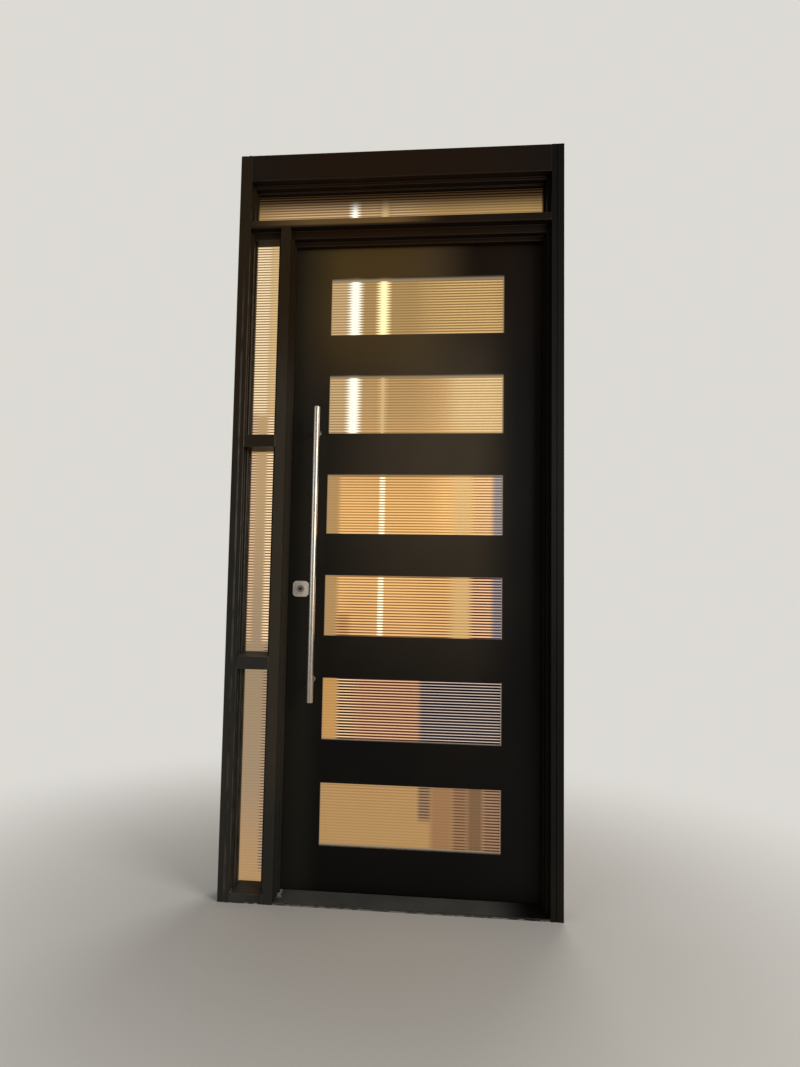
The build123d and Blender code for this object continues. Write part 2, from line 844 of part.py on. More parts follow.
with BuildPart() as mullion:
    add(mullion_blank.part)
    with BuildSketch(Plane.YZ.offset(lock_rebate)):
        with Locations((leaf_middle, lock_height)):
            Rectangle(face_plate_width, face_plate_height)
    extrude(amount=-strike_plate_thickness, mode=Mode.SUBTRACT)
    with BuildSketch(Plane.YZ.offset(lock_rebate)):
        with Locations((leaf_middle, lock_height)):
            Rectangle(strike_hole_width, strike_hole_height)
    extrude(amount=-strike_pocket_depth, mode=Mode.SUBTRACT)
    with Locations(*strike_screw_planes):
        Hole(screw_radius + screw_fit, depth=strike_screw_length + screw_fit)
save(mullion.part, "mullion")
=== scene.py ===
# %% [markdown]
# # A glazed entrance door, dressed in Blender
# The shapes of this door come from its CAD model, which is loaded as a fixed frame. What is
# left for Blender is what a joiner would call finishing: paint, glass, steel, seals and screws.
# Everything is in metres, with X to the right, Y into the house and Z up.

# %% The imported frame
import math

import bmesh
import bpy
from mathutils import Matrix, Vector


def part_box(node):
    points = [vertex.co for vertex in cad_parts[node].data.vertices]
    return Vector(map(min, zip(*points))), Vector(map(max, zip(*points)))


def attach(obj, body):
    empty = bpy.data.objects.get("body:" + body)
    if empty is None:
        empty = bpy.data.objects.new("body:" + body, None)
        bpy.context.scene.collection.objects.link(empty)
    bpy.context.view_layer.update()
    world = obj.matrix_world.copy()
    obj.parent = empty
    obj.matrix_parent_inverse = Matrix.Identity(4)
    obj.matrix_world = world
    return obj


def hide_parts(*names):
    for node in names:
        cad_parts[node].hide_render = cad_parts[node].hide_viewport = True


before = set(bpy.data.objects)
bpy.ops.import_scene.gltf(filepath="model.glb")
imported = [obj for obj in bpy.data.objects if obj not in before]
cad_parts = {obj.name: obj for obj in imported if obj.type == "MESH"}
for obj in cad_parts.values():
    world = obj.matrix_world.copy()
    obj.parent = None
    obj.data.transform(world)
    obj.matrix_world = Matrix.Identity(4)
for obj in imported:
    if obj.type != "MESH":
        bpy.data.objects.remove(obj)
scene = bpy.context.scene
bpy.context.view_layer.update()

# %% [markdown]
# ## Camera
# The photograph was taken by hand with a wide lens, straight in front of the door, from chest
# height and tilted up a little. Three small turns describe that better than a target point,
# because a target can't lean the picture. The lines that run into the depth meet left of and
# below the picture's middle, as in a picture that was straightened and cropped, so the lens
# is shifted to put the rest of the view where it belongs.

# %% Camera
camera_place = Vector((-0.0237, -2.1223, 0.9566))
camera_turn_left = 0.0800
camera_tilt_up = 0.0587
camera_lean = 0.0228
lens_length = 20.24
lens_shift = (0.0590, 0.0513)

forward = Vector((
    -math.sin(camera_turn_left) * math.cos(camera_tilt_up),
    math.cos(camera_turn_left) * math.cos(camera_tilt_up),
    math.sin(camera_tilt_up),
))
level_right = Vector((math.cos(camera_turn_left), math.sin(camera_turn_left), 0))
level_up = level_right.cross(forward)
right = level_right * math.cos(camera_lean) + level_up * math.sin(camera_lean)
up = level_up * math.cos(camera_lean) - level_right * math.sin(camera_lean)

camera = bpy.data.objects.new("camera", bpy.data.cameras.new("camera"))
camera.data.lens = lens_length
camera.data.shift_x, camera.data.shift_y = lens_shift
camera.data.clip_start = 0.05
camera.matrix_world = Matrix.Translation(camera_place) @ Matrix((right, up, -forward)).transposed().to_4x4()
scene.collection.objects.link(camera)
scene.camera = camera
scene.view_settings.view_transform = "Standard"
print("Camera stands", round(-camera_place.y, 2), "m in front of the frame")

# %% [markdown]
# ## Nodes written as expressions
# A shader is a sum of small steps. Wiring each step by hand hides the sum, so a small class
# wraps a socket and overloads the operators: `1 - mask * 0.5` then adds its own Math nodes.
# Every other node comes from one method, for materials and Geometry Nodes alike.


# %% Node helper
class Value:
    """The output socket of a node, which can be used in sums."""

    def __init__(self, nodes, socket):
        self.nodes = nodes
        self.socket = socket

    def __add__(self, other):
        return self.nodes.maths("ADD", self, other)

    def __sub__(self, other):
        return self.nodes.maths("SUBTRACT", self, other)

    def __mul__(self, other):
        return self.nodes.maths("MULTIPLY", self, other)

    def __truediv__(self, other):
        return self.nodes.maths("DIVIDE", self, other)

    def __rsub__(self, other):
        return self.nodes.maths("SUBTRACT", other, self)

    __radd__ = __add__
    __rmul__ = __mul__


class Nodes:
    """Adds nodes to one tree."""

    def __init__(self, tree):
        self.tree = tree
        tree.nodes.clear()

    def node(self, kind, settings=None, sockets=None, output=0):
        """Add a node, set it up, fill or link its sockets and return one of its outputs."""
        made = self.tree.nodes.new(kind)
        for name, value in (settings or {}).items():
            if name == "stops":
                self.set_stops(made.color_ramp.elements, value)
            else:
                setattr(made, name, value)
        for name, value in (sockets or {}).items():
            socket = made.inputs[name]
            if isinstance(value, Value):
                self.tree.links.new(value.socket, socket)
            else:
                socket.default_value = value
        return Value(self, made.outputs[output])

    def set_stops(self, elements, stops):
        """Give a colour ramp its stops, each a position and a colour."""
        while len(elements) < len(stops):
            elements.new(0.5)
        for element, (position, colour) in zip(elements, stops):
            element.position = position
            element.color = (*colour, 1)

    def maths(self, operation, *values):
        """Math node on numbers."""
        return self.node("ShaderNodeMath", {"operation": operation}, dict(enumerate(values)))

    def mix(self, share, first, second):
        """Colour that goes from first to second as share goes from 0 to 1."""
        settings = {"data_type": "RGBA", "clamp_factor": True}
        colours = {0: share, 6: self.colour(first), 7: self.colour(second)}
        return self.node("ShaderNodeMix", settings, colours, output=2)

    def colour(self, value):
        """A typed colour with its fourth number, or a linked one as it is."""
        return value if isinstance(value, Value) else (*value, 1)

    def step(self, value, start, end):
        """Smooth rise from 0 at start to 1 at end."""
        settings = {"interpolation_type": "SMOOTHSTEP"}
        span = {"Value": value, "From Min": start, "From Max": end}
        return self.node("ShaderNodeMapRange", settings, span)

    def hill(self, value, start, full, fading, end):
        """Rise from 0 at start to 1 at full, and fall from there at fading to 0 at end."""
        return self.step(value, start, full) * (1 - self.step(value, fading, end))


class Finish(Nodes):
    """A material round one Principled shader, with the place on the object at hand."""

    def __init__(self, name, fixed):
        self.material = bpy.data.materials.new(name)
        self.material.use_nodes = True
        super().__init__(self.material.node_tree)
        self.shader = self.tree.nodes.new("ShaderNodeBsdfPrincipled")
        self.surface = self.tree.nodes.new("ShaderNodeOutputMaterial")
        self.tree.links.new(self.shader.outputs[0], self.surface.inputs["Surface"])
        for socket, value in fixed.items():
            self.shader.inputs[socket].default_value = value
        self.place = self.node("ShaderNodeTexCoord", output="Object")
        self.x, self.y, self.z = (
            self.node("ShaderNodeSeparateXYZ", sockets={0: self.place}, output=axis) for axis in range(3)
        )

    def noise(self, scale, detail=2.0, stretch=(1, 1, 1)):
        """Noise with this many lumps to the metre, drawn out along an axis by a small stretch."""
        scaled = self.node("ShaderNodeMapping", sockets={"Vector": self.place, "Scale": stretch})
        return self.node("ShaderNodeTexNoise", sockets={"Vector": scaled, "Scale": scale, "Detail": detail})

    def away_from(self, middle):
        """Distance in metres from a place."""
        both = {0: self.place, 1: middle}
        return self.node("ShaderNodeVectorMath", {"operation": "DISTANCE"}, both, output=1)

    def bump(self, height, distance):
        """Raise the surface by height, which goes from 0 to 1, times distance in metres."""
        normal = self.node("ShaderNodeBump", sockets={"Height": height, "Distance": distance})
        self.feed("Normal", normal)

    def feed(self, socket, value):
        """Link a value to a socket of the shader."""
        self.tree.links.new(value.socket, self.shader.inputs[socket])

    def cover(self, other, share):
        """Show another shader over this one by a share from 0 to 1."""
        own = Value(self, self.shader.outputs[0])
        both = self.node("ShaderNodeMixShader", sockets={0: share, 1: own, 2: other})
        self.tree.links.new(both.socket, self.surface.inputs["Surface"])


# %% [markdown]
# ## Studio
# The paint is nearly black and shows mostly what it mirrors, so it wants large soft lamps at a
# plain level. The pale background is only the colour that the camera and the glass see: it adds
# no light. The floor keeps the shadow near the door and melts into the background further off.

# %% Studio
backdrop_colour = (0.72, 0.70, 0.66)
world_light = (1.0, 0.97, 0.92)
world_strength = 0.22
floor_fade = (0.4, 2.6)
floor_radius = 30

scene.world = bpy.data.worlds.new("studio")
scene.world.use_nodes = True
sky = Nodes(scene.world.node_tree)
seen = [sky.node("ShaderNodeLightPath", output=ray) for ray in ("Is Camera Ray", "Is Transmission Ray")]
lit = sky.node("ShaderNodeBackground", sockets={"Color": (*world_light, 1), "Strength": world_strength})
pale = sky.node("ShaderNodeBackground", sockets={"Color": (*backdrop_colour, 1), "Strength": 1.0})
either = sky.maths("MAXIMUM", *seen)
both = sky.node("ShaderNodeMixShader", sockets={0: either, 1: lit, 2: pale})
world_output = sky.tree.nodes.new("ShaderNodeOutputWorld")
sky.tree.links.new(both.socket, world_output.inputs["Surface"])


def soft_lamp(name, place, aim, size, power, colour):
    """Square area lamp at place that looks at aim."""
    lamp = bpy.data.objects.new(name, bpy.data.lights.new(name, "AREA"))
    lamp.data.size = size
    lamp.data.energy = power
    lamp.data.color = colour
    lamp.location = place
    lamp.rotation_euler = (Vector(aim) - Vector(place)).to_track_quat("-Z", "Y").to_euler()
    scene.collection.objects.link(lamp)


soft_lamp("key_lamp", (3.0, -2.6, 2.4), (0, 0, 1.1), 2.0, 70, (1.0, 0.96, 0.90))
soft_lamp("fill_lamp", (-3.2, -3.0, 2.0), (0, 0, 1.2), 2.4, 22, (0.93, 0.96, 1.0))
soft_lamp("back_lamp", (1.5, 3.5, 3.0), (0, 0, 1.3), 2.4, 60, (1.0, 0.98, 0.95))

floor_mesh = bpy.data.meshes.new("floor")
floor_form = bmesh.new()
bmesh.ops.create_circle(floor_form, cap_ends=True, segments=64, radius=floor_radius)
floor_form.to_mesh(floor_mesh)
floor_form.free()
floor = bpy.data.objects.new("floor", floor_mesh)
scene.collection.objects.link(floor)
ground = Finish("studio_floor", {"Roughness": 0.85, "Specular IOR Level": 0.2})
darker_floor = [0.97 * channel for channel in backdrop_colour]
ground.feed("Base Color", ground.mix(ground.noise(1.5), backdrop_colour, darker_floor))
far_off = ground.step(ground.away_from((0, 0, 0)), *floor_fade)
melted = ground.node("ShaderNodeEmission", sockets={"Color": (*backdrop_colour, 1), "Strength": 1.0})
camera_ray = ground.node("ShaderNodeLightPath", output="Is Camera Ray")
ground.cover(melted, far_off * camera_ray)
floor_mesh.materials.append(ground.material)

# %% [markdown]
# ## Black paint
# The timber has several coats of satin paint, rolled on. Close up a roller leaves a fine orange
# peel, the grain shows through as faint ridges along the board, and the gloss changes a little
# from patch to patch. Ledges that look up gather dust, whose pale colour also stands in for a painted
# sheen of light on them. The grain runs along each timber, so the finish is made once for uprights and once
# for level pieces.
#
# The paint is greyer low down and towards the left, and warm light from the porch is painted into it in
# patches. The lit panes throw some of their light on the edges of the leaf's openings, in front of the
# glass, as painted light.
# The rounded arrises carry a paler colour, a painted highlight of the thin bright lines that light draws
# along them.


# %% Black paint
paint_black = (0.0024, 0.0020, 0.0016)
paint_brown = (0.0060, 0.0040, 0.0022)
low_left_grey = (0.0350, 0.0340, 0.0275)
dust_and_sheen_colour = (0.150, 0.130, 0.110)
arris_highlight_colour = (0.085, 0.073, 0.056)
arris_black = (0.014, 0.010, 0.006)
pane_light_colour = (0.26, 0.21, 0.15)
peel_per_metre = 700
grain_per_metre = 260
fade_bottom = 0.5
fade_top = 2.05
fade_left = -0.35
fade_right = 0.50
glass_cover = 0.006
reveal_depth = 0.026
spill_edge = 0.001
spill_margin = 0.01

first_low, first_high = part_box("leaf_glass_1")
highest_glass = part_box("leaf_glass_6")[1].z
spill_depths = [first_low.y + step for step in (-reveal_depth, -spill_edge, spill_edge, 2 * spill_edge)]
spill_across = (
    first_low.x + glass_cover,
    first_low.x + glass_cover + spill_edge,
    first_high.x - glass_cover - spill_edge,
    first_high.x - glass_cover,
)
spill_heights = (
    first_low.z - 2 * spill_margin,
    first_low.z - spill_margin,
    highest_glass + spill_margin,
    highest_glass + 2 * spill_margin,
)
# Patches of painted warm light: places across where one starts, is full, fades and ends, the same for its
# heights, and its colour. A later patch covers an earlier one.
side_painted_light = ((-0.80, -0.70, -0.36, -0.20), (0.80, 2.20, 2.30, 2.34), (0.031, 0.017, 0.005))
leaf_painted_light = [
    ((-0.60, -0.39, -0.32, -0.23), (-0.2, 0.0, 2.4, 2.5), (0.014, 0.012, 0.0075)),
    ((-0.45, 0.15, 0.26, 0.45), (0.40, 1.75, 2.4, 2.5), (0.069, 0.051, 0.031)),
    ((0.05, 0.30, 0.60, 0.70), (1.75, 2.25, 2.4, 2.5), (0.010, 0.004, 0.0008)),
    ((-0.42, -0.15, -0.03, 0.30), (1.70, 2.15, 2.4, 2.5), (0.100, 0.060, 0.016)),
]
level_painted_light = [
    side_painted_light,
    ((-0.90, -0.10, -0.08, 0.90), (2.33, 2.34, 2.7, 2.8), (0.022, 0.0085, 0.0015)),
    ((-0.60, -0.25, -0.04, 0.18), (2.385, 2.395, 2.415, 2.425), (0.190, 0.112, 0.038)),
]
upright_painted_light = [
    side_painted_light,
    ((-0.43, -0.42, -0.380, -0.33), (0.20, 0.60, 1.70, 2.10), (0.048, 0.038, 0.026)),
    ((-0.80, -0.70, -0.36, -0.20), (2.28, 2.32, 2.70, 2.80), (0.031, 0.017, 0.005)),
]


def painted_timber(name, grain_stretch, dust_and_sheen_share, fade_share, painted_light_patches, pane_light_share=0.0):
    """Satin black paint with a drawn-out grain, greyer low on the left, with painted warm light in patches
    and painted light from the panes.
    """
    paint = Finish(name, {"IOR": 1.5, "Specular IOR Level": 0.17, "Emission Strength": 1.0})
    patches = paint.noise(2.5, detail=4)
    peel = paint.noise(peel_per_metre, detail=1)
    grain = paint.noise(grain_per_metre, detail=3, stretch=grain_stretch)
    looking_up = paint.node(
        "ShaderNodeSeparateXYZ",
        sockets={0: paint.node("ShaderNodeTexCoord", output="Normal")},
        output="Z",
    )
    speckle = paint.noise(120, detail=5)
    # Dust on ledges that look up, which also stands for a painted sheen of light on them
    dust_and_sheen = paint.step(looking_up, 0.6, 0.98) * paint.step(speckle, 0.30, 0.62) * dust_and_sheen_share
    # Greyer low down and towards the left
    height_fade = 1 - paint.step(paint.z, fade_bottom, fade_top) * 0.85
    left_fade = 1 - paint.step(paint.x, fade_left, fade_right) * 0.9
    fade = height_fade * left_fade * (0.5 + patches * 0.8) * fade_share
    colour = paint.mix(paint.step(patches, 0.35, 0.75), paint_black, paint_brown)
    colour = paint.mix(fade, colour, low_left_grey)
    # Painted warm light, patch by patch
    for across, upright, light_tint in painted_light_patches:
        share = paint.hill(paint.x, *across) * paint.hill(paint.z, *upright)
        colour = paint.mix(share * (0.7 + patches * 0.6), colour, light_tint)
    # Painted light: the glow of the lit panes on the reveals in front of the glass, as emission of the
    # paint
    pane_light = paint.hill(paint.x, *spill_across) * paint.hill(paint.y, *spill_depths)
    pane_light = pane_light * paint.hill(paint.z, *spill_heights) * pane_light_share
    paint.feed("Emission Color", paint.mix(pane_light, (0, 0, 0), pane_light_colour))
    paint.feed("Base Color", paint.mix(dust_and_sheen, colour, dust_and_sheen_colour))
    paint.feed("Roughness", 0.36 + patches * 0.14 + dust_and_sheen * 0.35)
    paint.bump(peel * 0.5 + grain * 0.5, 0.00012)
    return paint.material


# Painted highlight on the rounded arrises: a paler colour in broken streaks, less to the right and high up
rubbed_paint = Finish("rubbed_paint", {"IOR": 1.5, "Specular IOR Level": 0.4, "Roughness": 0.35})
highlight_breaks = rubbed_paint.noise(60, detail=4, stretch=(1, 1, 0.2))
arris_highlight_left = 1 - rubbed_paint.step(rubbed_paint.x, -0.30, 0.45) * 0.75
arris_highlight_low = 1 - rubbed_paint.step(rubbed_paint.z, 1.9, 2.3) * 0.9
arris_highlight_share = rubbed_paint.step(highlight_breaks, 0.32, 0.62) * arris_highlight_left * arris_highlight_low
rubbed_paint.feed("Base Color", rubbed_paint.mix(arris_highlight_share, arris_black, arris_highlight_colour))

upright_paint = painted_timber("black_paint_upright", (1, 1, 0.02), 0.55, 1.0, upright_painted_light)
level_paint = painted_timber("black_paint_level", (0.02, 1, 1), 0.55, 1.3, level_painted_light)
leaf_paint = painted_timber("black_paint_leaf", (1, 1, 0.02), 0.75, 0.0, leaf_painted_light, pane_light_share=1.0)
print("Paints", [paint.name for paint in (upright_paint, level_paint, leaf_paint)])

# %% [markdown]
# ## Sill paint
# Shoes have worn the sills: the paint there is greyer, flatter and scuffed, most of all where
# people step, and the ends keep more of their black. Pale filler shows in the joint at the left
# end of each sill, and in a broken line along its foot.


# %% Sill paint
sill_grey = (0.072, 0.071, 0.065)
sill_scuff = (0.105, 0.102, 0.096)
filler_colour = (0.33, 0.31, 0.27)
filler_lowest = 0.014
foot_filler_height = 0.005
door_filler_end = -0.362
side_filler_end = -0.531
unworn_end = 0.12


def sill_paint(name, worn_from, worn_to, wear, filled_to):
    """Grey paint, worn by a share between two places along X, with filler in the joint at its left end."""
    paint = Finish(name, {"IOR": 1.5, "Specular IOR Level": 0.35})
    worn = paint.step(paint.x, worn_from - 0.04, worn_from + 0.05)
    worn = worn * (1 - paint.step(paint.x, worn_to - 0.10, worn_to + 0.06)) * wear
    patches = paint.noise(9, detail=6)
    scuffs = paint.noise(160, detail=3, stretch=(0.12, 1, 1))
    colour = paint.mix(worn * (0.45 + patches * 0.9), paint_black, sill_grey)
    scratched = paint.step(scuffs, 0.60, 0.78) * worn
    colour = paint.mix(scratched * 0.55, colour, sill_scuff)
    ragged = paint.x + (paint.noise(110, detail=3) - 0.5) * 0.016
    filler = 1 - paint.step(ragged, filled_to - 0.002, filled_to)
    filler = filler * paint.step(paint.z, filler_lowest, filler_lowest + 0.004)
    broken = paint.step(paint.noise(45, detail=3), 0.46, 0.56)
    at_foot = (1 - paint.step(paint.z, foot_filler_height - 0.002, foot_filler_height)) * broken
    paint.feed("Base Color", paint.mix(paint.maths("MAXIMUM", filler, at_foot), colour, filler_colour))
    paint.feed("Roughness", 0.42 + worn * 0.22 + scratched * 0.1)
    paint.bump(scuffs * 0.6 + patches * 0.4, 0.0003)
    return paint.material


door_sill_low, door_sill_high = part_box("door_sill")
worn_end = door_sill_high.x - unworn_end
door_sill_paint = sill_paint("sill_paint_door", door_sill_low.x, worn_end, 1.0, door_filler_end)
side_sill_low, side_sill_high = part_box("side_sill")
worn_start = side_sill_low.x - 0.1
side_sill_paint = sill_paint("sill_paint_side", worn_start, side_sill_high.x, 0.6, side_filler_end)
print("Door sill is worn over", round(worn_end - door_sill_low.x, 2), "m")

# %% [markdown]
# ## Reeded glass
# Each pane is flat outside and has level reeds inside. A reed is a long lens: it gathers light
# from above and below and hides the room, which is left as lines of warm light, one bright and
# one dark to a reed, and lamps are drawn out into upright streaks. The lines come from the
# height on the pane, so they always fall on the reeds themselves.
#
# The glow is part of the finish, because the part stands in an empty studio. It is described as
# a few soft-edged patches in the plane of the door, and every pane reads the same description.


# %% Glow of the room
reed_pitch = 0.010
glow_top = 2.4
# Colours of the bright lines, and of the shade between them, at shares of the height glow_top
line_colours = [
    (0.10, (0.47, 0.29, 0.12)),
    (0.17, (0.50, 0.31, 0.13)),
    (0.27, (0.80, 0.50, 0.27)),
    (0.42, (0.89, 0.55, 0.22)),
    (0.58, (0.90, 0.55, 0.22)),
    (0.72, (0.54, 0.34, 0.155)),
    (0.88, (0.44, 0.285, 0.115)),
]
shade_colours = [
    (0.10, (0.41, 0.24, 0.09)),
    (0.17, (0.37, 0.20, 0.075)),
    (0.27, (0.10, 0.030, 0.010)),
    (0.42, (0.20, 0.065, 0.012)),
    (0.58, (0.38, 0.185, 0.040)),
    (0.72, (0.32, 0.190, 0.065)),
    (0.88, (0.28, 0.170, 0.055)),
]
side_calm = (0.52, 0.36, 0.185)
side_shade = (0.38, 0.24, 0.110)
side_calm_low = (0.40, 0.290, 0.180)
side_shade_low = (0.30, 0.205, 0.120)
side_calm_foot = (0.50, 0.315, 0.155)
side_shade_foot = (0.38, 0.235, 0.110)
transom_top_line = (0.064, 0.035, 0.014)
transom_top_shade = (0.008, 0.003, 0.001)
bead_cover = 0.008

pane_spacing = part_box("leaf_glass_2")[0].z - first_low.z
transom_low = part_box("transom_glass")[0].z


def across_pane(share):
    """X of a place on the leaf's panes, from 0 to 1 across the glass that the beads leave free."""
    return first_low.x + bead_cover + share * (first_high.x - first_low.x - 2 * bead_cover)


def up_panes(count):
    """Height of a place on the leaf: 2.5 is halfway up the second pane from the bottom."""
    number = int(count)
    return first_low.z + (number - 1) * pane_spacing + (count - number) * (first_high.z - first_low.z)


# Zones of the leaf's panes: left and right share, first and last place up the panes, width of the
# soft edge in metres, share of a reed that a line takes, and the colours of line and shade
leaf_zones = [
    (-0.1, 0.10, 5.0, 6.99, 0.015, 0.50, (0.64, 0.45, 0.23), (0.34, 0.22, 0.100)),
    (0.60, 1.10, 6.0, 6.99, 0.100, 0.50, (0.60, 0.40, 0.17), (0.24, 0.14, 0.045)),
    (0.70, 1.10, 5.0, 5.99, 0.050, 0.50, (0.73, 0.52, 0.26), (0.37, 0.25, 0.105)),
    (-0.1, 0.07, 3.0, 4.99, 0.010, 0.50, (0.46, 0.29, 0.12), (0.42, 0.25, 0.100)),
    (0.07, 0.14, 3.0, 3.30, 0.015, 0.50, (0.72, 0.44, 0.18), (0.16, 0.04, 0.010)),
    (0.72, 0.84, 3.0, 4.99, 0.025, 0.60, (0.70, 0.46, 0.20), (0.50, 0.31, 0.125)),
    (0.84, 1.10, 4.0, 4.99, 0.016, 0.60, (0.82, 0.53, 0.26), (0.24, 0.10, 0.030)),
    (0.83, 1.10, 3.0, 3.99, 0.016, 0.45, (0.98, 0.62, 0.34), (0.06, 0.010, 0.006)),
    (0.95, 1.10, 4.0, 4.99, 0.012, 0.45, (0.42, 0.36, 0.32), (0.13, 0.10, 0.110)),
    (0.95, 1.10, 3.0, 3.99, 0.012, 0.35, (0.56, 0.45, 0.36), (0.05, 0.04, 0.080)),
    (-0.1, 0.085, 2.0, 2.99, 0.010, 0.50, (0.56, 0.32, 0.11), (0.50, 0.27, 0.085)),
    (0.085, 0.20, 2.0, 2.99, 0.012, 0.36, (1.06, 0.74, 0.40), (0.030, 0.005, 0.002)),
    (0.18, 0.60, 2.0, 2.99, 0.030, 0.38, (0.88, 0.56, 0.33), (0.10, 0.020, 0.006)),
    (0.55, 1.10, 2.0, 2.99, 0.012, 0.25, (0.82, 0.64, 0.56), (0.002, 0.001, 0.003)),
    (0.55, 0.62, 1.5, 1.99, 0.010, 0.50, (0.38, 0.24, 0.13), (0.10, 0.050, 0.030)),
    (0.62, 0.74, 1.0, 1.99, 0.014, 0.50, (0.35, 0.19, 0.085), (0.31, 0.165, 0.070)),
    (0.74, 0.82, 1.0, 1.99, 0.012, 0.50, (0.36, 0.21, 0.11), (0.14, 0.060, 0.025)),
    (0.82, 0.91, 1.0, 1.99, 0.014, 0.50, (0.22, 0.12, 0.06), (0.18, 0.100, 0.050)),
    (0.91, 1.10, 1.0, 1.99, 0.010, 0.50, (0.40, 0.24, 0.14), (0.08, 0.030, 0.015)),
]
# Lamps: middle share, half width in metres, first and last place up the panes, and colour; the
# reeds cut comb_depth metres into their edges
lamp_streaks = [
    (0.138, 0.027, 5.0, 6.99, (1.00, 0.96, 0.82)),
    (0.306, 0.024, 6.0, 6.99, (1.06, 0.92, 0.52)),
    (0.310, 0.018, 5.0, 5.99, (0.66, 0.46, 0.22)),
    (0.318, 0.010, 3.0, 4.99, (1.25, 1.20, 0.88)),
]
comb_depth = 0.013
transom_zones = [
    (-0.35, 0.50, 6.9, 7.60, 0.080, 0.50, (0.68, 0.46, 0.23), (0.24, 0.14, 0.065)),
]
transom_streaks = [
    (0.128, 0.020, 7.0, 7.55, (1.25, 1.18, 1.00)),
    (0.306, 0.024, 7.0, 7.99, (0.58, 0.42, 0.19)),
]
# Zones of the side light: left and right share, lowest and highest place, edge, share of a reed
# that a line takes, and the colours of line and shade
side_zones = [
    (-0.1, 0.62, 1.73, 2.40, 0.012, 0.60, (0.98, 0.79, 0.50), (0.20, 0.10, 0.035)),
    (0.62, 1.10, 1.73, 2.40, 0.012, 0.60, (0.74, 0.54, 0.28), (0.42, 0.27, 0.110)),
    (-0.1, 0.30, 0.90, 1.70, 0.010, 0.50, (0.76, 0.56, 0.34), (0.26, 0.14, 0.080)),
    (0.64, 1.10, 0.90, 1.70, 0.008, 0.55, (1.00, 0.78, 0.48), (0.20, 0.09, 0.035)),
    (0.72, 1.10, 0.10, 0.86, 0.006, 0.55, (0.50, 0.36, 0.22), (0.17, 0.09, 0.055)),
]
line_softness = 0.14
common_line_share = 0.55
even_share = 0.5
zone_fade = 0.03
transom_fade = (0.045, 0.125)


def level_band(glass, bottom, top):
    """Band between two heights, which fades out below and above."""
    return glass.hill(glass.z, bottom - zone_fade, bottom, top, top + zone_fade)


def rectangle(glass, left, right, bottom, top, edge):
    """Rectangle between places across and up, with soft sides."""
    inside = glass.hill(glass.x, left - edge, left + edge, right - edge, right + edge)
    return inside * level_band(glass, bottom, top)


def shades(glass, wave, line_share):
    """Share of shade at each height, from the wave of the reeds and the share that is line."""
    middle = 0.5 + 0.5 * math.cos(math.pi * line_share)
    return 1 - glass.step(wave, middle - line_softness, middle + line_softness)


def common_glow(glass, wave):
    """Glow that depends on the height only, with the contrast of its lines wandering a little."""
    height = glass.z / glow_top
    bright = glass.node("ShaderNodeValToRGB", {"stops": line_colours}, {0: height})
    shade = glass.node("ShaderNodeValToRGB", {"stops": shade_colours}, {0: height})
    wander = glass.noise(4, detail=2, stretch=(1, 1, 0.6))
    lines = shades(glass, wave, common_line_share)
    return glass.mix(lines * glass.maths("MINIMUM", 0.55 + wander * 0.8, 1.0), bright, shade)


def add_streaks(glass, wave, glow, streaks):
    """Lay upright lamp streaks over the glow, with edges that the reeds cut into a comb."""
    lines = shades(glass, wave, even_share)
    for middle, half_width, first, last, colour in streaks:
        away = glass.maths("ABSOLUTE", glass.x - across_pane(middle)) + lines * comb_depth
        inside = 1 - glass.step(away, half_width * 0.65, half_width * 1.4)
        glow = glass.mix(inside * level_band(glass, up_panes(first), up_panes(last)), glow, colour)
    return glow


def add_zones(glass, wave, glow, zones, across=across_pane, upright=up_panes):
    """Lay zones over the glow, each with lines and shades of its own."""
    for left, right, first, last, edge, line_share, line, shade in zones:
        mask = rectangle(glass, across(left), across(right), upright(first), upright(last), edge)
        glow = glass.mix(mask, glow, glass.mix(shades(glass, wave, line_share), line, shade))
    return glow


def leaf_glow(glass, wave):
    """Glow of the leaf's panes: the common glow, then the zones, then the lamps."""
    glow = add_zones(glass, wave, common_glow(glass, wave), leaf_zones)
    return add_streaks(glass, wave, glow, lamp_streaks)


def side_glow(glass, wave):
    """Glow of the side light: calm, duller low down and warm at the foot, with lines in its zones."""
    low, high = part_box("side_glass_middle")
    down = 1 - glass.step(glass.z, 0.9, 1.5)
    foot = 1 - glass.step(glass.z, 0.05, 0.45)
    lines = shades(glass, wave, even_share)
    calm = glass.mix(foot, glass.mix(down, side_calm, side_calm_low), side_calm_foot)
    shade = glass.mix(foot, glass.mix(down, side_shade, side_shade_low), side_shade_foot)
    return add_zones(
        glass, wave, glass.mix(lines * 0.4, calm, shade), side_zones,
        across=lambda share: low.x + share * (high.x - low.x),
        upright=lambda height: height,
    )


def transom_glow(glass, wave):
    """Glow of the light over the door, darker upwards as a painted shade of the head."""
    glow = add_zones(glass, wave, common_glow(glass, wave), transom_zones)
    glow = add_streaks(glass, wave, glow, transom_streaks)
    lines = shades(glass, wave, even_share)
    # Painted shade of the head over the top of the pane
    painted_head_shade = glass.step(glass.z, *(transom_low + rise for rise in transom_fade))
    return glass.mix(painted_head_shade, glow, glass.mix(lines, transom_top_line, transom_top_shade))


print("Zones", len(leaf_zones), "on the leaf,", len(side_zones), "in the side light")

# %% [markdown]
# Glass cut from a sheet starts its reeds where the cut falls, so each pane's lines are counted
# from the middle of that pane. The six panes of the leaf repeat at one pitch and share a finish.


# %% Reeded glass
glow_in_base_share = 0.35


